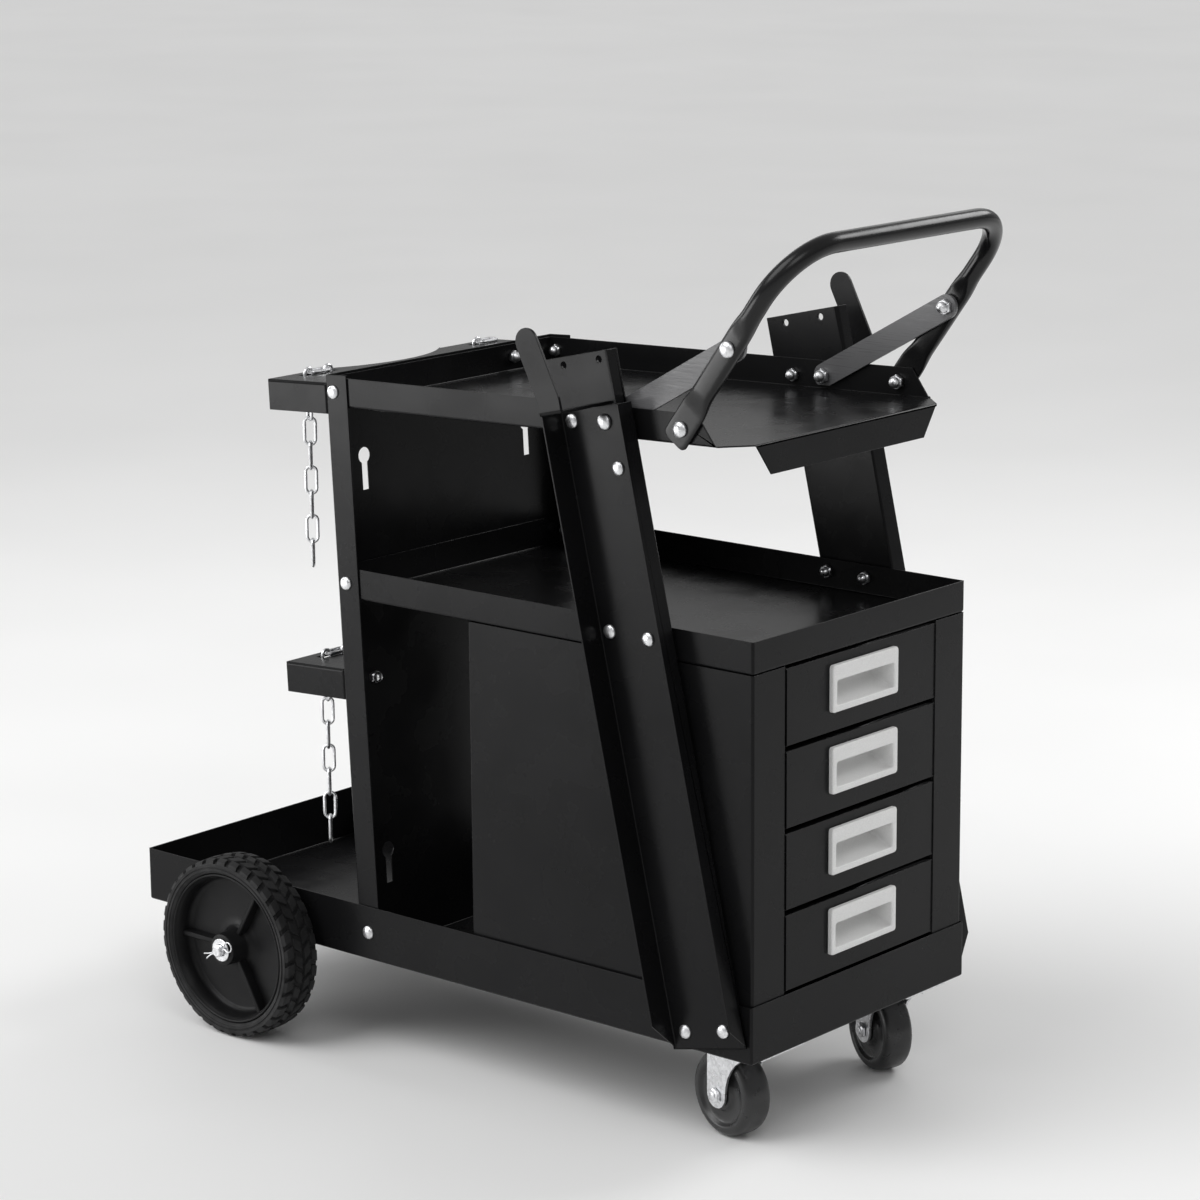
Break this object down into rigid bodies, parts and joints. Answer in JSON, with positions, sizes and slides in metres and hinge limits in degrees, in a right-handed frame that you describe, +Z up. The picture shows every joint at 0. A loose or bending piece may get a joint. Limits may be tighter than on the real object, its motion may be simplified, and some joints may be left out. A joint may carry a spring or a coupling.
{
  "type": "welding cart",
  "caption": "Two-tier sheet-steel welding cart with a drawer cabinet, a cylinder platform with chains, cable hooks, a push handle, large rear wheels and swivel casters.",
  "frame": {"origin": "on the floor under the middle of the cart's overall length and width", "axes": "+X to the front, where the drawers open; +Y to the cart's left; +Z up"},
  "size_m": [0.73, 0.4, 0.7322],
  "materials": {
    "powder_coat": "satin black powder coat",
    "gloss_tube": "gloss black enamel",
    "zinc": "bright zinc plate",
    "pull_silver": "silver-grey moulded plastic",
    "tyre_rubber": "matt black rubber",
    "caster_rubber": "satin black rubber",
    "rim_plastic": "satin black plastic"
  },
  "bodies": {
    "cart_frame": {"base_tray": "powder_coat", "cabinet_body": "powder_coat", "middle_tray": "powder_coat", "top_tray": "powder_coat", "back_panel": "powder_coat", "side_channel_left": "powder_coat", "side_channel_right": "powder_coat", "cable_hook_left": "powder_coat", "cable_hook_right": "powder_coat", "handle_tube": "gloss_tube", "handle_brace_left": "powder_coat", "handle_brace_right": "powder_coat", "handle_bolt_left": "zinc", "handle_bolt_right": "zinc", "leg_bolt_left": "zinc", "leg_bolt_right": "zinc", "brace_bolt_left": "zinc", "brace_bolt_right": "zinc", "upper_cylinder_bracket": "powder_coat", "lower_cylinder_bracket": "powder_coat", "upper_chain_catch_right": "zinc", "upper_chain_catch_left": "zinc", "lower_chain_catch_right": "zinc", "lower_chain_catch_left": "zinc", "runner_rack_left": "powder_coat", "runner_rack_right": "powder_coat", "rear_axle": "zinc", "axle_saddle_left": "powder_coat", "axle_saddle_right": "powder_coat", "axle_washer_left": "zinc", "axle_washer_right": "zinc", "cotter_pin_left": "zinc", "cotter_pin_right": "zinc", "caster_plate_left": "zinc", "caster_plate_right": "zinc"},
    "drawer_1_unit": {"drawer_1": "powder_coat", "drawer_pull_1": "pull_silver"},
    "drawer_2_unit": {"drawer_2": "powder_coat", "drawer_pull_2": "pull_silver"},
    "drawer_3_unit": {"drawer_3": "powder_coat", "drawer_pull_3": "pull_silver"},
    "drawer_4_unit": {"drawer_4": "powder_coat", "drawer_pull_4": "pull_silver"},
    "rear_wheel_left": {"rear_rim_left": "rim_plastic", "rear_tyre_left": "tyre_rubber"},
    "caster_swivel_left": {"caster_fork_left": "zinc", "caster_axle_left": "zinc"},
    "caster_roller_left": {"caster_wheel_left": "caster_rubber"},
    "rear_wheel_right": {"rear_rim_right": "rim_plastic", "rear_tyre_right": "tyre_rubber"},
    "caster_swivel_right": {"caster_fork_right": "zinc", "caster_axle_right": "zinc"},
    "caster_roller_right": {"caster_wheel_right": "caster_rubber"},
    "upper_sling": {"upper_chain": "zinc"},
    "upper_tail": {"upper_chain_tail": "zinc"},
    "lower_sling": {"lower_chain": "zinc"},
    "lower_tail": {"lower_chain_tail": "zinc"}
  },
  "joints": [
    {"name": "drawer_1_slide", "type": "slide", "parent": "cart_frame", "child": "drawer_1_unit", "axis": [1, 0, 0], "range_m": [0, 0.22]},
    {"name": "drawer_2_slide", "type": "slide", "parent": "cart_frame", "child": "drawer_2_unit", "axis": [1, 0, 0], "range_m": [0, 0.22]},
    {"name": "drawer_3_slide", "type": "slide", "parent": "cart_frame", "child": "drawer_3_unit", "axis": [1, 0, 0], "range_m": [0, 0.22]},
    {"name": "drawer_4_slide", "type": "slide", "parent": "cart_frame", "child": "drawer_4_unit", "axis": [1, 0, 0], "range_m": [0, 0.22]},
    {"name": "rear_wheel_left_spin", "type": "hinge", "parent": "cart_frame", "child": "rear_wheel_left", "pos_m": [-0.22045, 0.171, 0.079], "axis": [0, 1, 0], "continuous": true},
    {"name": "rear_wheel_right_spin", "type": "hinge", "parent": "cart_frame", "child": "rear_wheel_right", "pos_m": [-0.22045, -0.171, 0.079], "axis": [0, 1, 0], "continuous": true},
    {"name": "caster_left_swivel", "type": "hinge", "parent": "cart_frame", "child": "caster_swivel_left", "pos_m": [0.28455, 0.096, 0.078], "axis": [0, 0, 1], "continuous": true},
    {"name": "caster_left_spin", "type": "hinge", "parent": "caster_swivel_left", "child": "caster_roller_left", "pos_m": [0.26171, 0.10617, 0.036], "axis": [0.4067, 0.9135, 0], "continuous": true},
    {"name": "caster_right_swivel", "type": "hinge", "parent": "cart_frame", "child": "caster_swivel_right", "pos_m": [0.28455, -0.096, 0.078], "axis": [0, 0, 1], "continuous": true},
    {"name": "caster_right_spin", "type": "hinge", "parent": "caster_swivel_right", "child": "caster_roller_right", "pos_m": [0.26009, -0.0908, 0.036], "axis": [0.2079, 0.9781, 0], "continuous": true},
    {"name": "upper_sling_swing", "type": "hinge", "parent": "cart_frame", "child": "upper_sling", "pos_m": [-0.18422, 0.0116, 0.57431], "axis": [0, 1, 0], "range_deg": [-20, 20]},
    {"name": "upper_tail_swing", "type": "hinge", "parent": "cart_frame", "child": "upper_tail", "pos_m": [-0.18422, -0.105, 0.57431], "axis": [0, 1, 0], "range_deg": [-15, 15]},
    {"name": "lower_sling_swing", "type": "hinge", "parent": "cart_frame", "child": "lower_sling", "pos_m": [-0.17156, 0.0116, 0.33268], "axis": [0, 1, 0], "range_deg": [-20, 20]},
    {"name": "lower_tail_swing", "type": "hinge", "parent": "cart_frame", "child": "lower_tail", "pos_m": [-0.17156, -0.105, 0.33268], "axis": [0, 1, 0], "range_deg": [-15, 15]}
  ]
}
